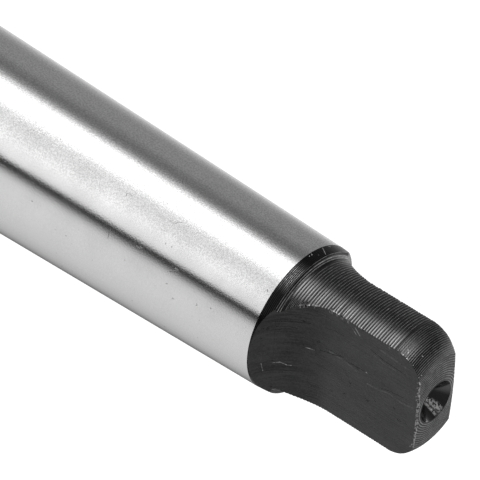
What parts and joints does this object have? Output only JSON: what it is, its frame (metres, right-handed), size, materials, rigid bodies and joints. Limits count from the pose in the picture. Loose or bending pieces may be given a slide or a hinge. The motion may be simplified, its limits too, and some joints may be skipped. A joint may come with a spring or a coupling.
{
  "type": "drill chuck arbor",
  "caption": "One-piece steel arbor: a short chuck taper, a ground Morse taper shank and a blackened tang with milled flats and a centre hole.",
  "frame": {"origin": "centre of the end face of the chuck taper, which the arbor stands on", "axes": "+Z along the axis, from the chuck taper's end face to the end of the tang; the two milled flats face -Y and +Y"},
  "size_m": [0.018, 0.018, 0.106],
  "materials": {
    "arbor_steel": "ground bright on both tapers, black oxide on the tang, the relief groove and the end faces"
  },
  "bodies": {
    "root": {"arbor": "arbor_steel"}
  },
  "joints": []
}
